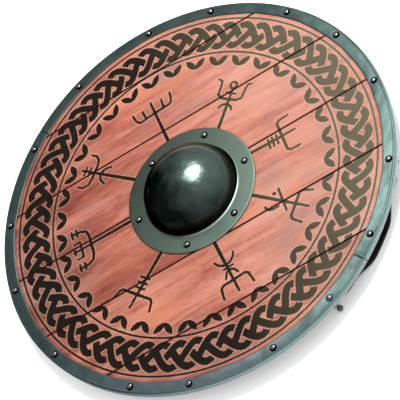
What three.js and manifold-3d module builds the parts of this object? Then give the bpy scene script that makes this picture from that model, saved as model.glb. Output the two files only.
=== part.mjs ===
// A round shield lying on its back, boss up: six planks edge to edge inside a riveted steel rim, a domed
// steel boss over the hand hole, two cross battens and a grip batten behind, and a leather carrying strap
// at the rim.
// Millimetres. +Z is the way the painted face looks, +X runs along the planks and +Y across them. The origin
// is on the underside of the grip, below the middle of the boss, so z = 0 is the surface it lies on.
import * as THREE from 'three';
import { mergeVertices } from 'three/addons/utils/BufferGeometryUtils.js';
import Module from 'manifold-3d';

const wasm = await Module();
wasm.setup();

// ---- driving dimensions ----
const SHIELD_RADIUS = 305;        // outside of the steel rim
const BATTEN_DEPTH = 22;          // the battens stand this far behind the board
const BOARD_THICKNESS = 9;
const RIM_SHEET = 1.2;            // thickness of the steel strip folded round the edge
const RIM_WIDTH = 18.5;           // how far the strip reaches in over the face and the back
const BOSS_SHEET = 1.5;
const BOSS_FLANGE_RADIUS = 98.5;
const DOME_RADIUS = 70;
const DOME_HEIGHT = 50;
const HAND_HOLE_RADIUS = 60;
const FIT_GAP = 0.3;              // between pieces that touch
const RING_STEPS = 64;            // sides of the board and the rim
const BOSS_STEPS = 32;            // sides of the boss

const BOARD_BACK = BATTEN_DEPTH;
const BOARD_FRONT = BOARD_BACK + BOARD_THICKNESS;
const RIM_TOP = BOARD_FRONT + FIT_GAP + RIM_SHEET;
const RIM_BOTTOM = BOARD_BACK - FIT_GAP - RIM_SHEET;
const BOARD_RADIUS = SHIELD_RADIUS - 3;   // the strip's fold is round, so the board stops short of it

// ---- colours ----
const stainedPine = new THREE.MeshStandardMaterial({ color: 0xc46a54, roughness: 0.55, metalness: 0 });
const plainPine = new THREE.MeshStandardMaterial({ color: 0x9a5f45, roughness: 0.7, metalness: 0 });
const rimSteel = new THREE.MeshStandardMaterial({ color: 0x5d6f72, roughness: 0.45, metalness: 0.9 });
const bossSteel = new THREE.MeshStandardMaterial({ color: 0x4f5e5b, roughness: 0.25, metalness: 0.95 });
const rivetSteel = new THREE.MeshStandardMaterial({ color: 0x2b3230, roughness: 0.3, metalness: 0.9 });
const blackLeather = new THREE.MeshStandardMaterial({ color: 0x17181a, roughness: 0.6, metalness: 0 });

// ---- shared helpers ----
const radians = THREE.MathUtils.degToRad;
const shield = new THREE.Group();

// A closed three.js geometry as a manifold solid: vertices merged, and triangles that merging closed up
// left out.
function solidFrom(geometry) {
  const bare = geometry.clone();
  bare.deleteAttribute('normal');
  bare.deleteAttribute('uv');
  const merged = mergeVertices(bare, 1e-4);
  const source = merged.index.array;
  const kept = [];
  for (let i = 0; i < source.length; i += 3) {
    const [a, b, c] = [source[i], source[i + 1], source[i + 2]];
    if (a !== b && b !== c && c !== a) kept.push(a, b, c);
  }
  const vertProperties = Float32Array.from(merged.attributes.position.array);
  return new wasm.Manifold(new wasm.Mesh({ numProp: 3, vertProperties, triVerts: Uint32Array.from(kept) }));
}

function geometryFrom(solid) {
  const mesh = solid.getMesh();
  const geometry = new THREE.BufferGeometry();
  geometry.setAttribute('position', new THREE.BufferAttribute(mesh.vertProperties, 3));
  geometry.setIndex(new THREE.BufferAttribute(mesh.triVerts, 1));
  geometry.computeVertexNormals();
  return geometry;
}

function addPiece(name, geometry, material) {
  const mesh = new THREE.Mesh(geometry, material);
  mesh.name = name;
  shield.add(mesh);
  return mesh;
}

// A profile of [radius, height] pairs turned about Z.
function turned(profile, steps) {
  const lathe = new THREE.LatheGeometry(profile.map(([r, z]) => new THREE.Vector2(r, z)), steps);
  return lathe.rotateX(Math.PI / 2);
}

// An upright cylinder from one height to another, centred on x, y.
function post(radius, low, high, steps, x = 0, y = 0) {
  const cylinder = new THREE.CylinderGeometry(radius, radius, high - low, steps);
  return cylinder.rotateX(Math.PI / 2).translate(x, y, (low + high) / 2);
}

// An outline of [across, up] pairs carried along an axis from one place to another: 'x' takes pairs as y, z,
// 'y' takes them as x, z, and 'z' takes them as x, y.
function prism(outline, axis, from, to) {
  const shape = new THREE.Shape(outline.map(([a, b]) => new THREE.Vector2(a, b)));
  const bar = new THREE.ExtrudeGeometry(shape, { depth: to - from, bevelEnabled: false });
  bar.translate(0, 0, from);
  if (axis === 'x') bar.applyMatrix4(new THREE.Matrix4().set(0, 0, 1, 0, 1, 0, 0, 0, 0, 1, 0, 0, 0, 0, 0, 1));
  if (axis === 'y') bar.rotateX(Math.PI / 2).scale(1, -1, 1);
  const turnedInsideOut = axis === 'y';
  if (turnedInsideOut) bar.setIndex([...Array(bar.attributes.position.count).keys()].reverse());
  return bar;
}

// The points of a round corner, from one angle to another in degrees.
function arc(centreA, centreB, radius, from, to, pieces) {
  return Array.from({ length: pieces + 1 }, (_, i) => {
    const angle = radians(from + ((to - from) * i) / pieces);
    return [centreA + radius * Math.cos(angle), centreB + radius * Math.sin(angle)];
  });
}

function onCircle(radius, degrees) {
  return [radius * Math.cos(radians(degrees)), radius * Math.sin(radians(degrees))];
}

function union(solids) {
  return wasm.Manifold.union(solids);
}

// ---- where the rivets and screws go ----
// The rim's rivets are spaced by eye, so each has its own angle in degrees from +X.
const STRAP_STUD_ANGLE = 294.5;
const STRAP_RIVET_ANGLE = 335.5;
const RIM_RIVET_ANGLES = [
  1, 21.5, 40.5, 65.5, 85.5, 111, 133.5, 158, 179.5, 206, 233.5, 251, 275.5, STRAP_STUD_ANGLE, 314,
  STRAP_RIVET_ANGLE,
];
const RIM_RIVET_CIRCLE = 295.5;
const BOSS_RIVET_CIRCLE = 86;
const BOSS_RIVET_ANGLES = [-2, 57.5, 118, 180, 247.5, 302];
const SHANK_RADIUS = 2;
const SHANK_HOLE_RADIUS = 2.6;
const HOLE_STEPS = 6;
const HEAD_STEPS = 8;
const BATTEN_X = 120;
const SCREW_DEPTH = BOARD_BACK + 6;       // the screws stop inside the planks
const BATTEN_SCREW_ROWS = [-216, -148, -40, 66, 171, 233];
const GRIP_SCREW_ROWS = [-238, -148, 171, 240];

const rimRivetSpots = RIM_RIVET_ANGLES.map((angle) => onCircle(RIM_RIVET_CIRCLE, angle));
const bossRivetSpots = BOSS_RIVET_ANGLES.map((angle) => onCircle(BOSS_RIVET_CIRCLE, angle));
const screwSpots = [
  ...BATTEN_SCREW_ROWS.map((y) => [-BATTEN_X, y]),
  ...BATTEN_SCREW_ROWS.map((y) => [BATTEN_X, y]),
  ...GRIP_SCREW_ROWS.map((y) => [0, y]),
];

function holesAt(spots, low, high, radius = SHANK_HOLE_RADIUS) {
  return union(spots.map(([x, y]) => solidFrom(post(radius, low, high, HOLE_STEPS, x, y))));
}

// ---- board: six planks, their face edges eased, cut to a disc ----
const SEAMS = [-202, -95, 14, 119, 224];  // y of each joint between planks
const SEAM_GAP = 0.5;
const EASED_EDGE = 0.8;

function buildPlanks() {
  const disc = solidFrom(post(BOARD_RADIUS, BOARD_BACK, BOARD_FRONT, RING_STEPS));
  const handHole = solidFrom(post(HAND_HOLE_RADIUS, BOARD_BACK - 1, BOARD_FRONT + 1, 40));
  const rivetHoles = holesAt([...rimRivetSpots, ...bossRivetSpots], BOARD_BACK - 1, BOARD_FRONT + 1);
  const screwHoles = holesAt(screwSpots, BOARD_BACK - 1, SCREW_DEPTH + 1);
  const edges = [-SHIELD_RADIUS, ...SEAMS, SHIELD_RADIUS];
  for (let i = 0; i + 1 < edges.length; i += 1) {
    const low = edges[i] + SEAM_GAP / 2;
    const high = edges[i + 1] - SEAM_GAP / 2;
    const section = [
      [low, BOARD_BACK - 1],
      [high, BOARD_BACK - 1],
      [high, BOARD_FRONT - EASED_EDGE],
      [high - EASED_EDGE - 1, BOARD_FRONT + 1],
      [low + EASED_EDGE + 1, BOARD_FRONT + 1],
      [low, BOARD_FRONT - EASED_EDGE],
    ];
    const strip = solidFrom(prism(section, 'x', -SHIELD_RADIUS, SHIELD_RADIUS));
    const plank = strip.intersect(disc).subtract(handHole).subtract(rivetHoles).subtract(screwHoles);
    addPiece(`plank_${i + 1}`, geometryFrom(plank), stainedPine);
  }
}

// ---- rim: a steel strip folded round the edge, in two half hoops that meet at two joints ----
const RIM_JOINT_ANGLE = 127.5;
const RIM_JOINT_GAP = 0.6;
const FOLD_RADIUS = 3;

function buildRim() {
  const inner = SHIELD_RADIUS - RIM_WIDTH;
  const foldCentre = SHIELD_RADIUS - FOLD_RADIUS;
  const insideFold = FOLD_RADIUS - RIM_SHEET;
  const profile = [
    [inner, RIM_BOTTOM],
    ...arc(foldCentre, RIM_BOTTOM + FOLD_RADIUS, FOLD_RADIUS, -90, 0, 2),
    ...arc(foldCentre, RIM_TOP - FOLD_RADIUS, FOLD_RADIUS, 0, 90, 2),
    [inner, RIM_TOP],
    [inner, RIM_TOP - RIM_SHEET],
    ...arc(foldCentre, RIM_TOP - FOLD_RADIUS, insideFold, 90, 0, 1),
    ...arc(foldCentre, RIM_BOTTOM + FOLD_RADIUS, insideFold, 0, -90, 1),
    [inner, RIM_BOTTOM + RIM_SHEET],
    [inner, RIM_BOTTOM],
  ];
  const rivetHoles = holesAt(rimRivetSpots, RIM_BOTTOM - 1, RIM_TOP + 1);
  const hoop = solidFrom(turned(profile, RING_STEPS)).subtract(rivetHoles);
  const cutter = new THREE.BoxGeometry(3 * SHIELD_RADIUS, 2 * SHIELD_RADIUS, 4 * BATTEN_DEPTH);
  const beside = SHIELD_RADIUS + RIM_JOINT_GAP / 2;
  const upper = cutter.clone().translate(0, -beside, 0).rotateZ(radians(RIM_JOINT_ANGLE + 180));
  const lower = cutter.clone().translate(0, -beside, 0).rotateZ(radians(RIM_JOINT_ANGLE));
  addPiece('rim_half_lower', geometryFrom(hoop.intersect(solidFrom(upper))), rimSteel);
  addPiece('rim_half_upper', geometryFrom(hoop.intersect(solidFrom(lower))), rimSteel);
}

// ---- boss: a dome over the hand hole, with a flat flange riveted to the face ----
function buildBoss() {
  const flangeBottom = BOARD_FRONT + FIT_GAP;
  const flangeTop = flangeBottom + BOSS_SHEET;
  const rings = 7;
  const domeArc = (radius, base, first, last) => Array.from({ length: rings }, (_, i) => {
    const angle = radians(first + ((last - first) * i) / (rings - 1));
    return [radius * Math.cos(angle), base + DOME_HEIGHT * Math.sin(angle)];
  });
  const profile = [
    ...domeArc(DOME_RADIUS - BOSS_SHEET, flangeBottom, 90, 0),
    [BOSS_FLANGE_RADIUS - 0.5, flangeBottom],
    [BOSS_FLANGE_RADIUS, flangeBottom + 0.5],
    [BOSS_FLANGE_RADIUS, flangeTop - 0.5],
    [BOSS_FLANGE_RADIUS - 0.5, flangeTop],
    [DOME_RADIUS + 1.2, flangeTop],
    ...domeArc(DOME_RADIUS, flangeTop, 1.6, 90),
  ];
  profile[0][0] = 0;
  profile[profile.length - 1][0] = 0;
  const rivetHoles = holesAt(bossRivetSpots, flangeBottom - 1, flangeTop + 1);
  const boss = solidFrom(turned(profile, BOSS_STEPS)).subtract(rivetHoles);
  addPiece('boss', geometryFrom(boss), bossSteel);
}

// ---- rivets: a domed head on the face, a shank through every layer, and a clenched end behind ----
const HEAD_RADIUS = 5.2;
const HEAD_HEIGHT = 3;
const CLENCH_RADIUS = 3.6;
const CLENCH_HEIGHT = 1.6;
const FREE_GAP = 0.25;                    // a head stands this far off what it holds

function rivetProfile(seat, back, backRadius, backHeight) {
  const under = seat + FREE_GAP;
  const behind = back - FREE_GAP;
  return [
    [0, behind - backHeight],
    [backRadius, behind],
    [SHANK_RADIUS, behind],
    [SHANK_RADIUS, under],
    [HEAD_RADIUS, under],
    [HEAD_RADIUS * 0.7, under + HEAD_HEIGHT * 0.74],
    [0, under + HEAD_HEIGHT],
  ];
}

function addRivet(name, [x, y], profile) {
  addPiece(name, turned(profile, HEAD_STEPS), rivetSteel).position.set(x, y, 0);
}

function buildRivets() {
  const bossSeat = BOARD_FRONT + FIT_GAP + BOSS_SHEET;
  const bossRivet = rivetProfile(bossSeat, BOARD_BACK, CLENCH_RADIUS, CLENCH_HEIGHT);
  const rimRivet = rivetProfile(RIM_TOP, RIM_BOTTOM, CLENCH_RADIUS, CLENCH_HEIGHT);
  bossRivetSpots.forEach((spot, i) => addRivet(`boss_rivet_${i + 1}`, spot, bossRivet));
  RIM_RIVET_ANGLES.forEach((angle, i) => {
    if (angle === STRAP_STUD_ANGLE || angle === STRAP_RIVET_ANGLE) return;
    addRivet(`rim_rivet_${String(i + 1).padStart(2, '0')}`, rimRivetSpots[i], rimRivet);
  });
}

// ---- battens: two cross battens, and the grip batten that crosses the hand hole ----
const BATTEN_TOP = BATTEN_DEPTH - FIT_GAP;
const BATTEN_WIDTH = 36;
const BATTEN_REACH = [-240, 248];         // y of the ends
const GRIP_REACH = [-266, 266];
const GRIP_END_WIDTH = 40;
const GRIP_HAND_WIDTH = 30;
const HEAD_SINK = 1;                      // the screw heads lie this deep in the wood
const SCREW_HEAD_RADIUS = 4;
const SCREW_HEAD_DEPTH = 2.6;
const SCREW_SHANK_RADIUS = 1.8;

function screwPockets(x, rows) {
  const spots = rows.map((y) => [x, y]);
  const pockets = holesAt(spots, -1, HEAD_SINK + SCREW_HEAD_DEPTH + 0.6, SCREW_HEAD_RADIUS + 1);
  return holesAt(spots, -1, BATTEN_DEPTH + 1).add(pockets);
}

// The side view of a batten whose ends slope back below, as pairs of y and z.
function battenSide([low, high], slope) {
  const shoulder = BATTEN_TOP * 0.6;
  return [
    [low + slope, 0],
    [high - slope, 0],
    [high, shoulder],
    [high, BATTEN_TOP],
    [low, BATTEN_TOP],
    [low, shoulder],
  ];
}

function buildBattens() {
  const half = BATTEN_WIDTH / 2;
  const ease = 4;
  for (const [name, x] of [['cross_batten_left', -BATTEN_X], ['cross_batten_right', BATTEN_X]]) {
    const section = [[x - half + ease, 0], [x + half - ease, 0], [x + half, ease], [x + half, BATTEN_TOP],
      [x - half, BATTEN_TOP], [x - half, ease]];
    const bar = solidFrom(prism(section, 'y', ...BATTEN_REACH));
    const side = solidFrom(prism(battenSide(BATTEN_REACH, 10), 'x', x - BATTEN_WIDTH, x + BATTEN_WIDTH));
    addPiece(name, geometryFrom(bar.intersect(side).subtract(screwPockets(x, BATTEN_SCREW_ROWS))), plainPine);
  }
}

// The grip is waisted where the hand closes on it, and its four long edges are eased along its length.
function buildGrip() {
  const [low, high] = GRIP_REACH;
  const wide = GRIP_END_WIDTH / 2;
  const narrow = GRIP_HAND_WIDTH / 2;
  const right = [[wide - 6, low], [wide, low + 8], [wide, -96], [narrow + 1.5, -66], [narrow, -44], [narrow, 44],
    [narrow + 1.5, 66], [wide, 96], [wide, high - 8], [wide - 6, high]];
  const left = right.map(([x, y]) => [-x, y]).reverse();
  const outline = solidFrom(prism([...right, ...left], 'z', 0, BATTEN_TOP));
  const side = solidFrom(prism(battenSide(GRIP_REACH, 20), 'x', -wide, wide));
  const ease = 5;
  const eased = [[-narrow + ease, 0], [narrow - ease, 0], [wide, wide - narrow + ease], [wide, BATTEN_TOP - 4],
    [narrow - 3, BATTEN_TOP + 4], [-narrow + 3, BATTEN_TOP + 4], [-wide, BATTEN_TOP - 4],
    [-wide, wide - narrow + ease]];
  const length = solidFrom(prism(eased, 'y', low, high));
  const grip = outline.intersect(side).intersect(length).subtract(screwPockets(0, GRIP_SCREW_ROWS));
  addPiece('grip_batten', geometryFrom(grip), plainPine);
}

function buildScrews() {
  const neck = HEAD_SINK + SCREW_HEAD_DEPTH;
  const profile = [
    [0, HEAD_SINK],
    [SCREW_HEAD_RADIUS, HEAD_SINK],
    [SCREW_SHANK_RADIUS, neck],
    [SCREW_SHANK_RADIUS, SCREW_DEPTH],
    [0, SCREW_DEPTH],
  ];
  screwSpots.forEach(([x, y], i) => {
    const name = `batten_screw_${String(i + 1).padStart(2, '0')}`;
    addPiece(name, turned(profile, HOLE_STEPS), rivetSteel).position.set(x, y, 0);
  });
}

// ---- carrying strap: leather, held under the rim by a rivet at one end and a ball-footed stud at the other
const STRAP_WIDTH = 22;
const STRAP_TAB_WIDTH = 15;
const STRAP_THICKNESS = 3;
const STRAP_HOLE_RADIUS = 2.8;
const STRAP_MIDDLE_ANGLE = (STRAP_STUD_ANGLE + STRAP_RIVET_ANGLE) / 2;
const STRAP_HALF_ANGLE = (STRAP_RIVET_ANGLE - STRAP_STUD_ANGLE) / 2;
const [STRAP_LINE, STRAP_HALF_SPAN] = onCircle(RIM_RIVET_CIRCLE, STRAP_HALF_ANGLE);
const STRAP_BOW = 13;                     // how far the slack strap swings out at its middle
const STRAP_TAB = 9;                      // leather past each fastening
const STRAP_END_HEIGHT = RIM_BOTTOM - FIT_GAP - STRAP_THICKNESS / 2;
const SLACK_HEIGHT = STRAP_THICKNESS / 2 + 0.3;

const smooth = (t) => THREE.MathUtils.smootherstep(t, 0, 1);

// Height of the strap's middle line: up under the rim at both ends, down on the floor between them. u runs
// along the strap from the rivet to the stud.
function strapHeight(u) {
  const rise = u < 0 ? smooth((-u - 18) / 42) : smooth((u - 16) / 58);
  return SLACK_HEIGHT + (STRAP_END_HEIGHT - SLACK_HEIGHT) * rise;
}

function strapOut(u) {
  return STRAP_LINE + STRAP_BOW * Math.max(0, 1 - (u / STRAP_HALF_SPAN) ** 2);
}

function strapWidthAt(u) {
  const tab = smooth((Math.abs(u) - STRAP_HALF_SPAN + 24) / 18);
  return THREE.MathUtils.lerp(STRAP_WIDTH, STRAP_TAB_WIDTH, tab);
}

function buildStrap() {
  const length = 2 * (STRAP_HALF_SPAN + STRAP_TAB);
  const strip = new THREE.BoxGeometry(length, 1, STRAP_THICKNESS, 44, 2, 1);
  const place = strip.attributes.position;
  for (let i = 0; i < place.count; i += 1) {
    const [u, across, thick] = [place.getX(i), place.getY(i), place.getZ(i)];
    const slope = strapHeight(u + 0.5) - strapHeight(u - 0.5);
    const steep = Math.hypot(1, slope);
    const out = strapOut(u) + across * strapWidthAt(u);
    place.setXYZ(i, u - (thick * slope) / steep, out, strapHeight(u) + thick / steep);
  }
  const fastenings = [[-STRAP_HALF_SPAN, STRAP_LINE], [STRAP_HALF_SPAN, STRAP_LINE]];
  const holes = holesAt(fastenings, 0, BATTEN_DEPTH, STRAP_HOLE_RADIUS);
  const strap = addPiece('carry_strap', geometryFrom(solidFrom(strip).subtract(holes)), blackLeather);
  strap.rotation.z = radians(STRAP_MIDDLE_ANGLE - 90);
}

// The rivet at one end is clenched below the strap. The stud at the other leans outward and ends in a ball.
const BALL_RADIUS = 4.6;
const BALL_OUT = 5;                       // from the rivet circle to the middle of the ball
const STRAP_CLENCH_RADIUS = 5;            // wide enough to hold soft leather
const STRAP_CLENCH_HEIGHT = 1.8;

function buildStrapFastenings() {
  const strapBack = STRAP_END_HEIGHT - STRAP_THICKNESS / 2;
  const longRivet = rivetProfile(RIM_TOP, strapBack, STRAP_CLENCH_RADIUS, STRAP_CLENCH_HEIGHT);
  addRivet('strap_rivet', onCircle(RIM_RIVET_CIRCLE, STRAP_RIVET_ANGLE), longRivet);
  const ballHeight = BALL_RADIUS + 0.6;
  const bend = strapBack - 1;
  const straight = solidFrom(turned([[0, bend], ...rivetProfile(RIM_TOP, bend, 0, 0).slice(3)], HEAD_STEPS));
  const ball = solidFrom(new THREE.SphereGeometry(BALL_RADIUS, 10, 6).translate(BALL_OUT, 0, ballHeight));
  const drop = bend - ballHeight;
  const stemLength = Math.hypot(BALL_OUT, drop) + 2;
  const stem = new THREE.CylinderGeometry(SHANK_RADIUS, SHANK_RADIUS, stemLength, HOLE_STEPS);
  stem.rotateX(Math.PI / 2).rotateY(-Math.atan2(BALL_OUT, drop));
  stem.translate(BALL_OUT / 2, 0, (bend + ballHeight) / 2);
  const stud = addPiece('strap_stud', geometryFrom(union([straight, ball, solidFrom(stem)])), rivetSteel);
  stud.position.set(...onCircle(RIM_RIVET_CIRCLE, STRAP_STUD_ANGLE), 0);
  stud.rotation.z = radians(STRAP_STUD_ANGLE);
}

buildPlanks();
buildRim();
buildBoss();
buildRivets();
buildBattens();
buildGrip();
buildScrews();
buildStrap();
buildStrapFastenings();

export default shield;
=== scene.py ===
"""A wooden round shield lying on its battens with the painted face up. Lengths are in millimetres until a mesh
is made."""
import math

import bpy
import numpy as np
from mathutils import Matrix, Vector


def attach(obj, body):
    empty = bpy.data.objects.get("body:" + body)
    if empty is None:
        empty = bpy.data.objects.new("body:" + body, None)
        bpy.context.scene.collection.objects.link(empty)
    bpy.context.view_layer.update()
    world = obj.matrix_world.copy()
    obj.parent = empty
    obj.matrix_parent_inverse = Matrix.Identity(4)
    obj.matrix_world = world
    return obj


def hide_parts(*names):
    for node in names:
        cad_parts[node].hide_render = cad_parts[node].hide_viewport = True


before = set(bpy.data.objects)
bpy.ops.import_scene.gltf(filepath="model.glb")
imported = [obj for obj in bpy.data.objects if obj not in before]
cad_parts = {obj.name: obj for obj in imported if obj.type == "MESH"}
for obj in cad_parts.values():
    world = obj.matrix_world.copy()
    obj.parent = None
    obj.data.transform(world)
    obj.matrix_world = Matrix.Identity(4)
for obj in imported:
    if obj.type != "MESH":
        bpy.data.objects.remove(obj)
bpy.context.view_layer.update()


# ---- viewpoint ----
# A long lens looks down on the lying shield from near the strap, and is rolled so that the planks run up to
# the right.
VIEW_AZIMUTH = 289.3
VIEW_ELEVATION = 50.33
VIEW_ROLL = 45.2
VIEW_DISTANCE = 2752
VIEW_AIM = (6.4, -22.3, 31.0)
VIEW_LENS = 179.2


def set_viewpoint():
    """Places the camera at a distance from the aim along a direction given by two angles, and turns it by its
    roll."""
    azimuth, elevation = math.radians(VIEW_AZIMUTH), math.radians(VIEW_ELEVATION)
    level = math.cos(elevation)
    back = Vector((level * math.cos(azimuth), level * math.sin(azimuth), math.sin(elevation)))
    level_right = Vector((0, 0, 1)).cross(back).normalized()
    turn = Matrix.Rotation(math.radians(-VIEW_ROLL), 3, back)
    right = turn @ level_right
    up = turn @ back.cross(level_right)
    lens = bpy.data.cameras.new("viewpoint")
    lens.lens = VIEW_LENS
    camera = bpy.data.objects.new("viewpoint", lens)
    camera.rotation_euler = Matrix((right, up, back)).transposed().to_euler()
    camera.location = (Vector(VIEW_AIM) + back * VIEW_DISTANCE) / 1000
    bpy.context.scene.collection.objects.link(camera)
    bpy.context.scene.camera = camera


set_viewpoint()


# ---- studio: pale floor and soft light ----
# One plain floor sheet. A soft box hangs nearly overhead, where it lights the crown of the boss, and a pale
# surround, brighter on that side, fills the shadows. Together they light a level sheet STUDIO_GAIN times as
# strongly as a plain white surround.
STUDIO_GAIN = 1.85
BRIGHT_SIDE = (0.23, 0.34, 0.91)
FLOOR_REACH = 6.0


def new_material(name):
    """A material with its node tree and its main shader."""
    material = bpy.data.materials.new(name)
    material.use_nodes = True
    return material, material.node_tree, material.node_tree.nodes["Principled BSDF"]


def add_node(tree, kind, inputs=None, **settings):
    """A shader node with its settings, and its inputs filled by value or linked to another node's output."""
    made = tree.nodes.new("ShaderNode" + kind)
    for key, value in settings.items():
        setattr(made, key, value)
    for key, value in (inputs or {}).items():
        if isinstance(value, bpy.types.NodeSocket):
            tree.links.new(value, made.inputs[key])
        else:
            made.inputs[key].default_value = value
    return made


def remap(tree, value, low, high, to_low=0.0, to_high=1.0):
    """A value brought from one range to another and held inside it."""
    inputs = {"Value": value, "From Min": low, "From Max": high, "To Min": to_low, "To Max": to_high}
    return add_node(tree, "MapRange", inputs).outputs["Result"]


def linear(red, green, blue, gain=STUDIO_GAIN):
    """The linear surface colour that shows as a screen colour from 0 to 255 under the studio's light."""
    return tuple((channel / 255) ** 2.2 / gain for channel in (red, green, blue)) + (1.0,)


def add_soft_box(name, direction, distance, size, watts):
    """An oval lamp that stands off along a direction and faces the shield."""
    lamp = bpy.data.lights.new(name, "AREA")
    lamp.shape = "ELLIPSE"
    lamp.size, lamp.size_y = size
    lamp.energy = watts
    holder = bpy.data.objects.new(name, lamp)
    away = Vector(direction).normalized()
    holder.location = away * distance
    holder.rotation_euler = away.to_track_quat("Z", "Y").to_euler()
    bpy.context.scene.collection.objects.link(holder)


def build_studio():
    """One square sheet, the surround, the lamp and plain colour handling. The floor glows faintly, which keeps the
    shield's shadow pale."""
    floor_mesh = bpy.data.meshes.new("studio_floor")
    corners = [(x * FLOOR_REACH, y * FLOOR_REACH, 0) for x, y in ((-1, -1), (1, -1), (1, 1), (-1, 1))]
    floor_mesh.from_pydata(corners, [], [(0, 1, 2, 3)])
    floor = bpy.data.objects.new("studio_floor", floor_mesh)
    bpy.context.scene.collection.objects.link(floor)
    material, _, shader = new_material("pale_floor")
    shader.inputs["Base Color"].default_value = (0.93, 0.93, 0.93, 1)
    shader.inputs["Roughness"].default_value = 0.9
    shader.inputs["Specular IOR Level"].default_value = 0.1
    shader.inputs["Emission Color"].default_value = (1, 1, 1, 1)
    shader.inputs["Emission Strength"].default_value = 0.3
    floor_mesh.materials.append(material)
    world = bpy.data.worlds.new("surround")
    world.use_nodes = True
    tree = world.node_tree
    sides = {0: add_node(tree, "TexCoord").outputs["Generated"], 1: BRIGHT_SIDE}
    facing = add_node(tree, "VectorMath", sides, operation="DOT_PRODUCT")
    level = remap(tree, facing.outputs["Value"], -0.1, 0.95, 0.42, 1.10)
    tree.links.new(level, tree.nodes["Background"].inputs["Strength"])
    tree.nodes["Background"].inputs["Color"].default_value = (0.94, 0.98, 1.0, 1)
    bpy.context.scene.world = world
    bpy.context.scene.view_settings.view_transform = "Standard"
    add_soft_box("overhead_box", (0.24, 0.38, 0.9), 2.2, (0.85, 1.05), 60)


build_studio()


# ---- board: six painted planks ----
# Softwood planks lie edge to edge, stained red, with eased edges that show as dark seams. Their round outline
# is cut after joining. A plaited border and an eight-stave compass are painted across all of them.
BOARD_BACK, BOARD_FRONT = 22.0, 31.0
BOARD_RADIUS = 302.0
HAND_HOLE_RADIUS = 60.0
SEAMS = (-202.0, -95.0, 14.0, 119.0, 224.0)
SEAM_GAP = 0.5
EASED = 1.1
FACE_STEP = 1.15


def add_piece(name, points, quads, loops, node, finish, flat_from=None):
    """A closed mesh from points in millimetres, four-sided faces and longer face loops, turned so that it
    encloses a positive volume. Faces from flat_from on are shaded flat, or else the loops are."""
    faces = [list(map(int, quad)) for quad in quads] + [list(map(int, loop)) for loop in loops]
    first, second, third, fourth = (points[quads[:, corner]] for corner in range(4))
    volume = np.sum(first * (np.cross(second, third) + np.cross(third, fourth)))
    for loop in loops:
        ring = points[np.asarray(loop)]
        volume += np.sum(np.cross(ring[1:-1], ring[2:]) * ring[0])
    if volume < 0:
        faces = [face[::-1] for face in faces]
    mesh = bpy.data.meshes.new(name)
    mesh.from_pydata((points / 1000).tolist(), [], faces)
    shading = np.full(len(faces), True)
    shading[len(quads) if flat_from is None else flat_from:] = False
    mesh.polygons.foreach_set("use_smooth", shading)
    piece = bpy.data.objects.new(name, mesh)
    bpy.context.scene.collection.objects.link(piece)
    mesh.materials.append(finish)
    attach(piece, "root")
    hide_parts(node)
    return piece


def grid_quads(index, close_rows=False, close_columns=False):
    """Four-sided faces between neighbours of a grid of point numbers, joined round on itself where asked."""
    if close_rows:
        index = np.vstack([index, index[:1]])
    if close_columns:
        index = np.hstack([index, index[:, :1]])
    return np.stack([index[:-1, :-1], index[:-1, 1:], index[1:, 1:], index[1:, :-1]], axis=-1).reshape(-1, 4)


def add_tube(name, points, node, finish):
    """A piece from a grid of points: each row is one closed section, and the first and last are its ends."""
    index = np.arange(points.shape[0] * points.shape[1]).reshape(points.shape[:2])
    quads = grid_quads(index, close_columns=True)
    return add_piece(name, points.reshape(-1, 3), quads, [index[0], index[-1][::-1]], node, finish)


# The painted design is a field: at each point of the face, the distance to the nearest painted edge, negative
# inside the paint. Brush strokes and leaves are added to it by taking the smaller distance.
FAR_FROM_PAINT = 30.0
HALO_REACH = 6.0


class Design:
    """Painted shapes over an array of points, kept as one distance field."""

    def __init__(self, x, y):
        self.x, self.y = x, y
        self.distance = np.full(x.shape, FAR_FROM_PAINT)

    def near(self, low, high):
        """The numbers of the points inside a box, grown by the reach of the paint's halo."""
        inside = (self.x > low[0] - HALO_REACH) & (self.x < high[0] + HALO_REACH)
        inside &= (self.y > low[1] - HALO_REACH) & (self.y < high[1] + HALO_REACH)
        return np.nonzero(inside)[0]

    def blend_in(self, chosen, distance, wipe=False):
        """Adds a shape to the paint, or wipes it out of the paint."""
        if wipe:
            self.distance[chosen] = np.maximum(self.distance[chosen], -distance)
        else:
            self.distance[chosen] = np.minimum(self.distance[chosen], distance)

    def stroke(self, path, start_width, end_width=None, wipe=False):
        """A brush stroke along straight stretches: distance to the nearest stretch, less a half width that
        changes evenly from start to end."""
        path = np.asarray(path, float)
        end_width = start_width if end_width is None else end_width
        reach = max(start_width, end_width) / 2
        chosen = self.near(path.min(0) - reach, path.max(0) + reach)
        if not len(chosen):
            return
        px, py = self.x[chosen], self.y[chosen]
        lengths = np.hypot(*np.diff(path, axis=0).T)
        along = np.concatenate([[0], np.cumsum(lengths)]) / lengths.sum()
        best = np.full(px.shape, FAR_FROM_PAINT)
        for (ax, ay), (bx, by), start, end in zip(path[:-1], path[1:], along[:-1], along[1:]):
            dx, dy = bx - ax, by - ay
            part = np.clip(((px - ax) * dx + (py - ay) * dy) / (dx * dx + dy * dy), 0, 1)
            share = start + (end - start) * part
            half = (start_width + (end_width - start_width) * share) / 2
            best = np.minimum(best, np.hypot(px - ax - part * dx, py - ay - part * dy) - half)
        self.blend_in(chosen, best, wipe)

    def leaf(self, centre, heading, half_length, half_width):
        """A pointed leaf, the overlap of two equal discs."""
        chosen = self.near(centre - half_length, centre + half_length)
        if not len(chosen):
            return
        px, py = self.x[chosen] - centre[0], self.y[chosen] - centre[1]
        along = px * math.cos(heading) + py * math.sin(heading)
        across = py * math.cos(heading) - px * math.sin(heading)
        radius = (half_length**2 + half_width**2) / (2 * half_width)
        distance = np.hypot(along, np.abs(across) + radius - half_width) - radius
        self.blend_in(chosen, distance)


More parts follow.
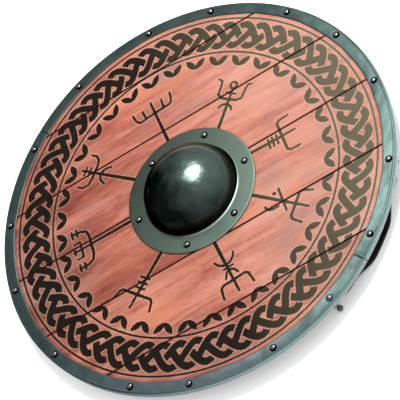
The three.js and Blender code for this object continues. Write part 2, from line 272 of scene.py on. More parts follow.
# Each stave is drawn in its own frame: first number along the stave from the shield's middle, second number
# to its left. Its parts are combs, forks, tridents, bars, arcs, a dot and a ring.
def stave_strokes(kind):
    """The brush strokes of one stave as (path, start width, end width)."""
    def bars(places, half, lean=0.0):
        return [([(u - lean, -half), (u + lean, half)], 2.9, 2.9) for u in places]

    def both_sides(path, start, end):
        return [([(u, side * v) for u, v in path], start, end) for side in (-1, 1)]

    def trident(u, half, reach, flare=2.5):
        corner = 4.0
        arm = [(u, 0), (u, half - corner), (u + corner, half), (u + reach, half + flare)]
        return both_sides(arm, 4.0, 3.0)

    def swept(u, half, sweep):
        arm = [(u, 0), (u - 0.15 * sweep, half * 0.45), (u - 0.5 * sweep, half * 0.8), (u - sweep, half)]
        return both_sides(arm, 3.6, 2.8)

    def stem(end, lean=0.0):
        return [([(94, lean), (end, 0)], 4.8, 3.2)]

    if kind == "comb":
        tines = [([(157, v), (172, 1.1 * v)], 3.4, 2.8) for v in (-15, 15)]
        ends = both_sides([(157, 0), (156, 24), (158, 28), (164, 30.5), (175, 32)], 3.8, 2.8)
        return stem(177) + tines + ends
    if kind == "ring_fork":
        turn = np.radians(np.arange(0, 361, 20))
        ring = [(list(zip(169 + 5.2 * np.cos(turn), 1 + 5.2 * np.sin(turn))), 3.2, 3.2)]
        flicks = both_sides([(173, 22), (175, 28)], 3.0, 2.6)
        fork = both_sides([(146, 0), (146, 12), (151, 20), (166, 20.5), (173, 22)], 3.6, 3.0)
        return stem(163, -3) + swept(138, 11, 7.5) + fork + flicks + bars([156], 7.5) + ring
    if kind == "short_bars_trident":
        return stem(168, 3) + bars([127, 133.5, 140], 7.5, 0.6) + trident(148, 27, 19, 1)
    if kind == "dot_trident":
        hook = [([(125, -11), (131, -14), (138, -12), (145, -6)], 3.4, 2.8)]
        dot = [([(131, 11), (132, 11)], 4.6, 4.6)]
        return stem(190, 5) + hook + dot + [([(135, 19), (159, -10)], 3.2, 3.0)] + trident(169, 22, 19)
    if kind == "arcs_trident":
        outward = both_sides([(150, 0), (153, 6), (161, 10)], 3.2, 2.8)
        return stem(188, -3) + swept(141, 15, 13) + bars([146], 7.5) + outward + trident(168, 22, 20, 2)
    if kind == "three_bars_trident":
        return stem(187, 4) + bars([140, 148, 156], 8) + trident(166, 29, 17, 4)
    if kind == "double_fork":
        outer = both_sides([(165, 0), (165, 16), (168, 25), (176, 29), (191, 30)], 4.2, 3.2)
        inner = both_sides([(181, 0), (181, 13), (191, 13)], 3.4, 2.8)
        ticks = both_sides([(182, 23), (182, 35)], 2.9, 2.9) + both_sides([(190, 23), (190, 35)], 2.9, 2.9)
        return stem(194, -3.2) + outer + inner + ticks + bars([192], 4.5)
    curled = both_sides([(173, 0), (172, 10), (174, 20), (180, 26), (190, 26.5)], 3.8, 2.8)
    return stem(194, -1) + swept(161, 13.5, 13) + curled + bars([181, 188.5], 7)


BRUSH_LOAD = 1.25
STAVES = {
    0.8: "short_bars_trident",
    48.0: "ring_fork",
    93.8: "comb",
    137.2: "curled_fork",
    177.7: "double_fork",
    221.0: "three_bars_trident",
    274.0: "arcs_trident",
    319.5: "dot_trident",
}


def paint_compass(design):
    """Turns every stave's strokes to its heading."""
    for heading, kind in STAVES.items():
        cosine, sine = math.cos(math.radians(heading)), math.sin(math.radians(heading))
        for path, start, end in stave_strokes(kind):
            path = np.asarray(path, float) @ np.array([[cosine, sine], [-sine, cosine]])
            design.stroke(path, BRUSH_LOAD * start, BRUSH_LOAD * end)


# The border is a plain plait between two thin rings, the same all the way round, with a row of leaves inside.
PLAIT_RADIUS = 251.0
PLAIT_SWING = 17.5
PLAIT_WAVES = 20
STRANDS = 3
STRAND_WIDTH = 11.0
STRAND_GAP = 2.0
CLEARED_HALF = 0.4
RELAID_HALF = 0.95
BORDER_RINGS = (279.0, 223.0)
BORDER_RING_WIDTH = 3.2
LEAF_PAIRS = 36
LEAF_RADIUS = 209.0
LEAF_SPREAD = 0.034
LEAF_LEAN = 0.75


def on_ring(radius, turn):
    """The points at a radius and a turn about the middle, in radians."""
    return np.stack([radius * np.cos(turn), radius * np.sin(turn)], axis=-1)


def strand_path(strand, start, end, count):
    """A stretch of a strand: its radius swings in and out as a sine, each strand a third of a wave behind the
    last."""
    phase = np.linspace(start, end, count)
    turn = (phase - 2 * math.pi * strand / STRANDS) / PLAIT_WAVES
    return on_ring(PLAIT_RADIUS + PLAIT_SWING * np.sin(phase), turn)


def paint_plait(design):
    """Three whole strands are laid first. Each goes over its neighbour once on every way in or out, a twelfth
    of a wave past the middle: there a wider stretch is wiped out and the upper strand laid again."""
    whole = 2 * math.pi
    for strand in range(STRANDS):
        for wave in range(PLAIT_WAVES):
            design.stroke(strand_path(strand, whole * wave, whole * (wave + 1), 17), STRAND_WIDTH)
    for strand in range(STRANDS):
        for half_wave in range(2 * PLAIT_WAVES):
            crossing = math.pi * (half_wave + 1 / 6)
            cleared = strand_path(strand, crossing - CLEARED_HALF, crossing + CLEARED_HALF, 6)
            relaid = strand_path(strand, crossing - RELAID_HALF, crossing + RELAID_HALF, 9)
            design.stroke(cleared, STRAND_WIDTH + 2 * STRAND_GAP, wipe=True)
            design.stroke(relaid, STRAND_WIDTH)


def paint_border(design):
    """Two thin rings on the sides of the plait, and leaves in pairs that lean away from each other."""
    for radius in BORDER_RINGS:
        for turn in range(0, 360, 15):
            arc = np.radians(np.linspace(turn, turn + 15, 8))
            design.stroke(on_ring(radius, arc), BORDER_RING_WIDTH)
    for pair in range(LEAF_PAIRS):
        turn = 2 * math.pi * pair / LEAF_PAIRS
        for side in (-1, 1):
            spot = on_ring(LEAF_RADIUS, turn + side * LEAF_SPREAD)
            design.leaf(spot, turn + side * LEAF_LEAN, 11.5, 5.0)


def painted_distance(x, y):
    """The whole design over arrays of points on the face."""
    design = Design(x, y)
    paint_plait(design)
    paint_border(design)
    paint_compass(design)
    return design.distance


def plank_rows(low, high):
    """Heights across one plank and how far its face has dropped there: a quarter round at both edges."""
    edge = EASED * np.array([0.0, 0.04, 0.16, 0.38, 0.7])
    steps = [low + EASED, high - EASED]
    for level in (-HAND_HOLE_RADIUS, HAND_HOLE_RADIUS):
        if low + EASED < level < high - EASED:
            steps.append(level)
    steps.sort()
    middle = []
    for start, end in zip(steps[:-1], steps[1:]):
        middle.append(np.linspace(start, end, max(2, round((end - start) / FACE_STEP)), endpoint=False))
    rows = np.concatenate([low + edge, *middle, [steps[-1]], high - edge[::-1]])
    inset = np.clip(EASED - np.minimum(rows - low, high - rows), 0, EASED)
    return rows, EASED - np.sqrt(EASED**2 - inset**2)


def build_plank(number, low, high, finish):
    """One plank: a fine face grid squeezed between the round outline and the hand hole, walls down to the back
    round the whole outline, and one flat back. The face swells by a tenth of a millimetre, as a sine across."""
    rows, drop = plank_rows(low, high)
    outer = np.sqrt(np.maximum(BOARD_RADIUS**2 - rows**2, 1.0))
    hole = np.sqrt(np.maximum(HAND_HOLE_RADIUS**2 - rows**2, 0.0))
    half = max(20, round(outer.max() / FACE_STEP))
    share = np.linspace(0, 1, half + 1)
    right = hole[:, None] + (outer - hole)[:, None] * share
    x = np.hstack([-right[:, ::-1], right])
    y = np.broadcast_to(rows[:, None], x.shape)
    grain_swell = 0.10 * np.sin(y * 0.9 + 3 * np.sin(x * 0.004 + number))
    z = BOARD_FRONT - 0.12 - drop[:, None] + grain_swell
    index = np.arange(x.size).reshape(x.shape)
    open_rows = np.nonzero(hole > 0)[0]
    closed = hole <= 0
    index[closed, half + 1] = index[closed, half]
    face = np.vstack([grid_quads(index[:, : half + 1]), grid_quads(index[:, half + 1:])])
    bottom, top = index[0], index[-1]
    start, end = np.delete(bottom, half), np.delete(top, half)
    if len(open_rows) and open_rows[0] == 0:
        rise = index[1 : open_rows[-1] + 2, half]
        fall = index[open_rows[-1] : 0 : -1, half + 1]
        start = np.concatenate([bottom[: half + 1], rise, fall, bottom[half + 1 :]])
    if len(open_rows) and open_rows[-1] == len(rows) - 1:
        first = open_rows[0]
        rise = index[first:-1, half]
        fall = index[-2 : first - 2 : -1, half + 1]
        end = np.concatenate([top[: half + 1], rise[::-1], fall[::-1], top[half + 1 :]])
    outline = np.concatenate([start, index[1:-1, -1], end[::-1], index[-2:0:-1, 0]])
    points = np.stack([x, y, z], axis=-1).reshape(-1, 3)
    under = points[outline] * (1, 1, 0) + (0, 0, BOARD_BACK)
    below = len(points) + np.arange(len(outline))
    walls = grid_quads(np.stack([outline, below], axis=1), close_rows=True)
    quads = np.vstack([face, walls])
    everything = np.vstack([points, under])
    used = np.unique(np.concatenate([quads.ravel(), below]))
    renumber = np.zeros(len(everything), int)
    renumber[used] = np.arange(len(used))
    plank = add_piece(f"painted_plank_{number}", everything[used], renumber[quads], [renumber[below]],
                      f"plank_{number}", finish, len(face))
    px, py, pz = everything[used].T
    on_face = pz > BOARD_BACK + 1
    distance = np.full(len(px), FAR_FROM_PAINT)
    distance[on_face] = painted_distance(px[on_face], py[on_face])
    painted = plank.data.attributes.new("paint_distance", "FLOAT", "POINT")
    painted.data.foreach_set("value", distance.astype(np.float32))


def streaks(tree, stretch, shift=(0, 0, 0), detail=3.0, roughness=0.55, bend=0.0):
    """Noise over the piece, squeezed by a stretch along each axis, from 0 to 1."""
    place = add_node(tree, "TexCoord").outputs["Object"]
    placed = add_node(tree, "Mapping", {"Vector": place, "Scale": stretch, "Location": shift})
    inputs = {"Vector": placed.outputs["Vector"], "Scale": 1.0, "Detail": detail, "Roughness": roughness}
    return add_node(tree, "TexNoise", {**inputs, "Distortion": bend}).outputs["Fac"]


def compute(tree, operation, first, second):
    return add_node(tree, "Math", {0: first, 1: second}, operation=operation).outputs[0]


def times(tree, first, second):
    return compute(tree, "MULTIPLY", first, second)


def plus(tree, first, second):
    return compute(tree, "ADD", first, second)


def minus(tree, first, second):
    return compute(tree, "SUBTRACT", first, second)


def place_on_piece(tree):
    """The three outputs X, Y and Z of the place on the piece, in metres."""
    return add_node(tree, "SeparateXYZ", {"Vector": add_node(tree, "TexCoord").outputs["Object"]}).outputs


def mix_colour(tree, share, first, second):
    """Two colours mixed by a share from 0 to 1."""
    return add_node(tree, "Mix", {0: share, 6: first, 7: second}, data_type="RGBA").outputs[2]


def raise_surface(tree, shader, height, strength, distance):
    bump = add_node(tree, "Bump", {"Height": height, "Strength": strength, "Distance": distance})
    tree.links.new(bump.outputs["Normal"], shader.inputs["Normal"])


WOOD_DEEP = linear(128, 60, 49)
WOOD_RED = linear(186, 104, 86)
WOOD_SALMON = linear(228, 150, 127)
WOOD_PALE = linear(244, 185, 167)
WOOD_ORANGE = linear(242, 150, 110)
WOOD_SMOKE = linear(176, 130, 122)
WOOD_SHEEN_VEIL = linear(212, 158, 143)
SEAM_BROWN = linear(52, 24, 18)
PAINT_DARK = linear(20, 21, 13)
PAINT_SHEEN_OLIVE = linear(98, 100, 78)
PAINT_HALO = linear(250, 206, 176)


def painted_wood(number, low, high, lift):
    """Stained softwood under a light coat of paint: long streaks from dark red to pale salmon, with orange bands
    and grey smudges. A painted shade darkens it at the left and a painted sheen lightens it at the right, where a
    pale painted sheen also veils the streaks. The design lies over it, dark at the left and greyed to olive by a
    painted sheen at the right, where it lets a little more wood through, and the plank's two long edges show as
    dark seams."""
    material, tree, shader = new_material(f"painted_stained_wood_{number}")
    shift = (number * 3.7, number * 1.3, 0)
    broad = streaks(tree, (6.5, 34, 34), shift, 3, 0.55, 0.8)
    fine = streaks(tree, (10, 170, 170), shift, 3, 0.6, 0.4)
    fibre = streaks(tree, (45, 430, 430), shift, 3, 0.7)
    mottle = streaks(tree, (75, 130, 130), shift, 4, 0.7)
    cloud = streaks(tree, (10, 17, 17), shift, 3)
    flame = streaks(tree, (7, 28, 28), (number * 2.1, 5, 0), 2)
    tone = plus(tree, times(tree, broad, 0.46), times(tree, fine, 0.17))
    tone = plus(tree, tone, times(tree, mottle, 0.13))
    tone = plus(tree, tone, times(tree, fibre, 0.12))
    place = place_on_piece(tree)
    # Painted shade and sheen: the wood's tone is lowered at the left and raised at the right.
    painted_light_across = remap(tree, place["X"], -0.29, 0.16, -0.17, 0.045)
    tone = plus(tree, plus(tree, tone, painted_light_across), lift)
    ramp = add_node(tree, "ValToRGB", {"Fac": tone})
    stops = ramp.color_ramp.elements
    stops[0].position, stops[0].color = 0.29, WOOD_DEEP
    stops[1].position, stops[1].color = 0.73, WOOD_PALE
    stops.new(0.44).color = WOOD_RED
    stops.new(0.56).color = WOOD_SALMON
    wood = mix_colour(tree, remap(tree, flame, 0.50, 0.70, 0.0, 0.55), ramp.outputs["Color"], WOOD_ORANGE)
    wood = mix_colour(tree, remap(tree, cloud, 0.48, 0.70, 0.0, 0.62), wood, WOOD_SMOKE)
    # Painted sheen: a pale pink veil over the wood towards the right, which also calms its streaks.
    wood = mix_colour(tree, remap(tree, place["X"], 0.0, 0.22, 0.0, 0.30), wood, WOOD_SHEEN_VEIL)
    edge = add_node(tree, "Attribute", attribute_name="paint_distance").outputs["Fac"]
    grit = streaks(tree, (420, 420, 420), detail=2)
    ragged = plus(tree, edge, remap(tree, grit, 0.3, 0.7, -0.45, 0.45))
    wood = mix_colour(tree, remap(tree, edge, 2.4, 0.9, 0.0, 0.22), wood, PAINT_HALO)
    # Painted sheen: towards the right the paint greys from near black to olive and lets a little more wood
    # through.
    painted_sheen_right = remap(tree, place["X"], 0.0, 0.27)
    paint = mix_colour(tree, painted_sheen_right, PAINT_DARK, PAINT_SHEEN_OLIVE)
    covered = times(tree, remap(tree, ragged, 0.45, -0.45), remap(tree, painted_sheen_right, 0, 1, 0.99, 0.93))
    coloured = mix_colour(tree, covered, wood, paint)
    across = times(tree, place["Y"], 1000)
    seam = compute(tree, "MINIMUM", minus(tree, across, low), minus(tree, high, across))
    coloured = mix_colour(tree, remap(tree, seam, 1.8, 0.8), coloured, SEAM_BROWN)
    tree.links.new(coloured, shader.inputs["Base Color"])
    tree.links.new(remap(tree, covered, 0, 1, 0.55, 0.48), shader.inputs["Roughness"])
    shader.inputs["Specular IOR Level"].default_value = 0.06
    height = plus(tree, times(tree, fine, 0.6), times(tree, fibre, 0.4))
    raise_surface(tree, shader, height, 0.35, 0.0006)
    return material


PLANK_LIFT = (0.05, 0.115, 0.07, 0.075, 0.07, 0.08)


def build_board():
    edges = (-BOARD_RADIUS + 0.2, *SEAMS, BOARD_RADIUS - 0.2)
    for number, lift in enumerate(PLANK_LIFT, start=1):
        low = edges[number - 1] + (SEAM_GAP / 2 if number > 1 else 0)
        high = edges[number] - (SEAM_GAP / 2 if number < 6 else 0)
        build_plank(number, low, high, painted_wood(number, low, high, lift))


build_board()


# ---- battens and grip ----
# Two plain cross battens and the waisted grip batten cross the back, with bevelled ends. They are the same
# softwood with a thin stain, sawn and sanded, and screwed to the planks.
BATTEN_X = 120.0
BATTEN_TOP = 21.7
BATTEN_REACH = (-240.0, 248.0)
GRIP_REACH = (-266.0, 266.0)
BATTEN_SCREW_ROWS = (-216, -148, -40, 66, 171, 233)
GRIP_SCREW_ROWS = (-238, -148, 171, 240)
BATTEN_HALF_WIDTH = 18.0
GRIP_END_HALF_WIDTH = 20.0
GRIP_HAND_HALF_WIDTH = 15.0
END_RISE = 12.0


def bare_wood(name, shift):
    """Softwood with a faint, worn stain: grain lines along the batten, small darker flecks, and handling
    marks."""
    material, tree, shader = new_material(name)
    rings = streaks(tree, (120, 3.2, 90), (shift, shift * 2, 0), 3, 0.6, 0.8)
    fibre = streaks(tree, (700, 18, 700), (shift, 0, 0), 2)
    worn = streaks(tree, (14, 9, 14), (0, shift, 0), 3)
    tone = plus(tree, times(tree, rings, 0.75), times(tree, fibre, 0.25))
    colour = mix_colour(tree, remap(tree, tone, 0.33, 0.66), linear(112, 62, 42), linear(178, 116, 82))
    marks = times(tree, remap(tree, worn, 0.5, 0.75), 0.4)
    colour = mix_colour(tree, marks, colour, linear(96, 56, 44))
    tree.links.new(colour, shader.inputs["Base Color"])
    tree.links.new(remap(tree, rings, 0.3, 0.7, 0.62, 0.48), shader.inputs["Roughness"])
    raise_surface(tree, shader, tone, 0.4, 0.0008)
    return material


def rounded_outline(half_width, low, high, radius, lower_radius):
    """A four-cornered section with round corners as arrays across and up, anticlockwise from the lower right."""
    turn = np.linspace(0, math.pi / 2, 5)
    across, up = [], []
    corners = ((1, low, lower_radius), (1, high, radius), (-1, high, radius), (-1, low, lower_radius))
    for quarter, (side, level, r) in enumerate(corners):
        angle = turn + (quarter - 1) * math.pi / 2
        centre_up = level + r if quarter in (0, 3) else level - r
        across.append(side * (half_width - r) + r * np.cos(angle))
        up.append(centre_up + r * np.sin(angle))
    return np.concatenate(across), np.concatenate(up)


def build_batten(name, x, reach, half_width_at, node, rows, finish, slope):
    """A bar along Y: a rounded section whose half width and underside change along its length, closed at both
    ends."""
    low, high = reach
    bevel = slope * np.linspace(0, 1, 9)
    places = np.unique(np.concatenate([np.linspace(low, high, 90), low + bevel, high - bevel]))
    sections = []
    for place in places:
        rise = np.clip(max(low + slope - place, place - high + slope) / slope, 0, 1) * END_RISE
        upper_ease = 1.5 if abs(place) > 70 else 4.0
        lower_ease = 5.0 if abs(place) < 90 else 3.5
        across, up = rounded_outline(half_width_at(place), rise, BATTEN_TOP, upper_ease, lower_ease)
        sections.append(np.stack([x + across, np.full(len(across), place), up], axis=-1))
    countersink(add_tube(name, np.array(sections), node, finish), x, rows)


def countersink(batten, x, rows):
    """Cuts a round pocket for each screw head into the batten's underside, and a hole for its shank through it.
    The cutter is a stack of rings of height and radius at each screw's place."""
    steps = 24
    turn = np.linspace(0, 2 * math.pi, steps, endpoint=False)
    rings = ((-1.0, 5.4), (1.0, 4.9), (3.4, 4.7), (3.9, 2.3), (BATTEN_TOP + 1, 2.3))
    points, faces = [], []
    for row in rows:
        index = len(points) * steps + np.arange(len(rings) * steps).reshape(len(rings), steps)
        for height, radius in rings:
            ring = [x + radius * np.cos(turn), row + radius * np.sin(turn), np.full(steps, height)]
            points.append(np.stack(ring, -1))
        faces += grid_quads(index, close_columns=True).tolist()
        faces += [index[0][::-1].tolist(), index[-1].tolist()]
    mesh = bpy.data.meshes.new("pocket_cutter")
    mesh.from_pydata((np.vstack(points) / 1000).tolist(), [], faces)
    cutter = bpy.data.objects.new("pocket_cutter", mesh)
    bpy.context.scene.collection.objects.link(cutter)
    cut = batten.modifiers.new("pockets", "BOOLEAN")
    cut.operation, cut.solver, cut.object = "DIFFERENCE", "EXACT", cutter
    seen = batten.evaluated_get(bpy.context.evaluated_depsgraph_get())
    carved = bpy.data.meshes.new_from_object(seen)
    batten.modifiers.clear()
    batten.data = carved
    bpy.data.objects.remove(cutter)


def batten_half_width(place):
    """The same at every place."""
    return BATTEN_HALF_WIDTH


def eased_step(value, low, high):
    """0 below low, 1 above high, and a smooth cubic between."""
    t = np.clip((value - low) / (high - low), 0, 1)
    return t * t * (3 - 2 * t)


def grip_half_width(place):
    """Full width at the ends, drawn in by a smooth step where the hand closes on it."""
    waist = GRIP_END_HALF_WIDTH - GRIP_HAND_HALF_WIDTH
    return GRIP_END_HALF_WIDTH - waist * float(1 - eased_step(abs(place), 44, 96))


def build_battens():
    for side, x in (("left", -BATTEN_X), ("right", BATTEN_X)):
        build_batten(f"{side}_batten", x, BATTEN_REACH, batten_half_width, f"cross_batten_{side}",
                     BATTEN_SCREW_ROWS, bare_wood(f"batten_wood_{side}", x / 10), 10.0)
    build_batten("hand_grip", 0.0, GRIP_REACH, grip_half_width, "grip_batten",
                 GRIP_SCREW_ROWS, bare_wood("grip_wood", 5.0), 20.0)


build_battens()


# ---- rim ----
# A strip of blue-grey rolled steel is folded round the edge in two half hoops that butt at two joints. It was
# hammered down between the rivets, so its face is slightly uneven and its inner edge wanders.
RIM_RADIUS = 305.0
RIM_WIDTH = 18.5
RIM_SHEET = 1.2
RIM_TOP, RIM_BOTTOM = 32.5, 20.5
RIM_FOLD = 3.0
RIM_JOINT = 127.5
RIM_RIVET_CIRCLE = 295.5
STRAP_STUD_ANGLE, STRAP_RIVET_ANGLE = 294.5, 335.5
RIM_RIVET_ANGLES = (
    1, 21.5, 40.5, 65.5, 85.5, 111, 133.5, 158, 179.5, 206, 233.5, 251, 275.5, STRAP_STUD_ANGLE, 314,
    STRAP_RIVET_ANGLE,
)
NICK_ANGLE = 17.6


def flat_place(tree):
    """The place on the piece with its height left out."""
    flatten = {0: add_node(tree, "TexCoord").outputs["Object"], 1: (1, 1, 0)}
    return add_node(tree, "VectorMath", flatten, operation="MULTIPLY").outputs["Vector"]


def rim_steel():
    """Satin rolled steel, blue-grey: cloudy oxide with a painted shade that darkens it towards the left, and
    bluer towards the bottom. The outer fold carries a painted shade away from the strap. Near the strap the
    fold carries a pale painted reflection, palest along its underside as a painted highlight, and the inner edge
    carries a painted highlight."""
    material, tree, shader = new_material("rim_rolled_steel")
    place = place_on_piece(tree)
    cloud = streaks(tree, (24, 24, 24), detail=4, roughness=0.6)
    speck = streaks(tree, (240, 240, 240), detail=3)
    colour = mix_colour(tree, remap(tree, cloud, 0.35, 0.65), linear(80, 97, 93), linear(108, 131, 126))
    spots = times(tree, remap(tree, speck, 0.52, 0.7), 0.25)
    colour = mix_colour(tree, spots, colour, linear(68, 83, 80))
    lower_right = minus(tree, times(tree, place["X"], 0.7), place["Y"])
    # Painted shade: the steel darkens away from the lower right.
    shade = remap(tree, lower_right, -0.10, 0.36, 0.85, 0.0)
    colour = mix_colour(tree, shade, colour, linear(58, 74, 73))
    blued = times(tree, remap(tree, place["Y"], -0.14, -0.26), remap(tree, place["X"], 0.16, 0.0))
    blued = times(tree, blued, remap(tree, cloud, 0.3, 0.6, 0.5, 1.0))
    colour = mix_colour(tree, blued, colour, linear(96, 108, 114))
    from_middle = add_node(tree, "VectorMath", {0: flat_place(tree)}, operation="LENGTH").outputs["Value"]
    # Painted highlight: the inner edge is lightened near the lower right, broken up by the cloud.
    inner_edge = remap(tree, from_middle, 0.2975, 0.2890)
    painted_inner_highlight = times(tree, inner_edge, remap(tree, lower_right, 0.21, 0.33))
    painted_inner_highlight = times(tree, painted_inner_highlight, remap(tree, cloud, 0.35, 0.6, 0.35, 1.0))
    colour = mix_colour(tree, painted_inner_highlight, colour, linear(136, 162, 158))
    # Painted shade on the outer fold all round, except near the strap at the lower right, where the fold gets a
    # painted reflection instead.
    lit_lower_right = remap(tree, lower_right, 0.10, 0.26)
    fold_shade_band = remap(tree, from_middle, 0.3015, 0.3040, 0.0, 0.5)
    painted_fold_shade = times(tree, fold_shade_band, minus(tree, 1.0, lit_lower_right))
    colour = mix_colour(tree, painted_fold_shade, colour, linear(40, 52, 54))
    # Painted reflection: near the strap the outer fold is made pale, and a painted highlight runs along its
    # underside.
    painted_fold_reflection = times(tree, remap(tree, from_middle, 0.3028, 0.3042), lit_lower_right)
    colour = mix_colour(tree, painted_fold_reflection, colour, linear(150, 178, 176))
    painted_fold_glint = times(tree, remap(tree, place["Z"], 0.0246, 0.0236), painted_fold_reflection)
    colour = mix_colour(tree, painted_fold_glint, colour, linear(236, 246, 244))
    tree.links.new(colour, shader.inputs["Base Color"])
    tree.links.new(remap(tree, cloud, 0.3, 0.7, 0.32, 0.46), shader.inputs["Roughness"])
    shader.inputs["Metallic"].default_value = 0.9
    height = plus(tree, cloud, times(tree, speck, 0.2))
    raise_surface(tree, shader, height, 0.25, 0.0012)
    return material


def rim_section():
    """The folded strip's outline as pairs of radius and height, once round its thickness: underside, outer fold
    and face, then back along the inside. The fold is two quarter circles and the face is slightly crowned."""
    inner = RIM_RADIUS - RIM_WIDTH
    flat = np.linspace(0, 1, 8)
    turn = np.linspace(-90, 90, 13)
    fold_centre = RIM_RADIUS - RIM_FOLD
    lower = np.stack([inner + flat * (fold_centre - inner), np.full(8, RIM_BOTTOM)], -1)
    angle = np.radians(turn)
    squat = np.where(turn < 0, RIM_BOTTOM + RIM_FOLD, RIM_TOP - RIM_FOLD)
    fold = np.stack([fold_centre + RIM_FOLD * np.cos(angle), squat + RIM_FOLD * np.sin(angle)], -1)
    crown = 0.35 * np.sin(math.pi * flat) - 0.35
    upper = np.stack([fold_centre - flat * (fold_centre - inner), RIM_TOP + crown], -1)
    lip = np.array([[inner - 0.25, RIM_TOP - 0.65], [inner, RIM_TOP - RIM_SHEET + 0.1]])
    inside = RIM_FOLD - RIM_SHEET
    back_angle, back_squat = angle[::-3], squat[::-3]
    back_fold = [fold_centre + inside * np.cos(back_angle), back_squat + inside * np.sin(back_angle)]
    tail = np.array([[inner, RIM_BOTTOM + RIM_SHEET], [inner - 0.25, RIM_BOTTOM + 0.6]])
    return np.vstack([lower[1:], fold[1:-1], upper, lip, np.stack(back_fold, -1), tail, lower[:1]])


def build_rim():
    """Carries the section round each half hoop. The inner edge wanders by slow waves, the face dips at each
    rivet, one end of each hoop is dressed down a little, and there is one small nick in the outer fold."""
    section = rim_section()
    steel = rim_steel()
    for side, start in (("lower", RIM_JOINT), ("upper", RIM_JOINT + 180)):
        degrees = np.linspace(start + 0.06, start + 179.94, 481)
        angle = np.radians(degrees)[:, None]
        radius = np.broadcast_to(section[:, 0], (len(degrees), len(section))).copy()
        height = np.broadcast_to(section[:, 1], radius.shape).copy()
        inward = np.clip((RIM_RADIUS - 4 - radius) / RIM_WIDTH, 0, 1)
        wander = 0.5 * np.sin(9 * angle + 1) + 0.35 * np.sin(23 * angle) + 0.2 * np.sin(41 * angle + 2)
        radius += inward * wander
        face = height > (RIM_TOP + RIM_BOTTOM) / 2
        waves = 0.10 * np.sin(31 * angle + 0.09 * radius) + 0.08 * np.sin(57 * angle - 0.2 * radius)
        height += np.where(face, np.clip(waves - 0.15, -0.4, 0), 0) * np.clip(inward * 3, 0, 1)
        for rivet in RIM_RIVET_ANGLES:
            turn = np.mod(degrees[:, None] - rivet + 180, 360) - 180
            away = np.hypot(turn * math.radians(RIM_RIVET_CIRCLE), radius - RIM_RIVET_CIRCLE)
            height -= np.where(face, 0.30 * np.exp(-((away / 7.5) ** 2)), 0)
        nick = np.exp(-(((degrees[:, None] - NICK_ANGLE) / 0.35) ** 2))
        radius -= 1.6 * nick * np.clip((radius - 300) / 5, 0, 1)
        joint = np.exp(-(((degrees[:, None] - start) / 0.8) ** 2))
        height -= np.where(face, 0.5 * joint, 0)
        points = np.stack([radius * np.cos(angle), radius * np.sin(angle), height], -1)
        add_tube(f"rim_hoop_{side}", points, f"rim_half_{side}", steel)


build_rim()


# ---- boss ----
# One steel shell pressed into a dome over the hand hole, with a flat flange that is riveted to the face. The
# flange is satin, and the dome is polished nearly black.
FLANGE_RADIUS = 98.5
FLANGE_BOTTOM = 31.3
SHELL = 1.5
DOME_RADIUS = 70.0
DOME_HEIGHT = 50.0
CREASE = 3.0


def turned_points(profile, steps):
    """A profile of radius and height turned about the upright axis. Its first and last points lie on the axis,
    and each closes up its end with a fan of triangles."""
    angle = np.linspace(0, 2 * math.pi, steps, endpoint=False)
    rings = profile[1:-1]
    x = rings[:, :1] * np.cos(angle)
    y = rings[:, :1] * np.sin(angle)
    z = np.broadcast_to(rings[:, 1:], x.shape)
    poles = [[0, 0, profile[0, 1]], [0, 0, profile[-1, 1]]]
    points = np.vstack([np.stack([x, y, z], -1).reshape(-1, 3), poles])
    index = np.arange(x.size).reshape(x.shape)
    first, last = x.size, x.size + 1
    caps = [[first, int(a), int(b)] for a, b in zip(np.roll(index[0], -1), index[0])]
    caps += [[last, int(a), int(b)] for a, b in zip(index[-1], np.roll(index[-1], -1))]
    return points, grid_quads(index, close_columns=True), caps


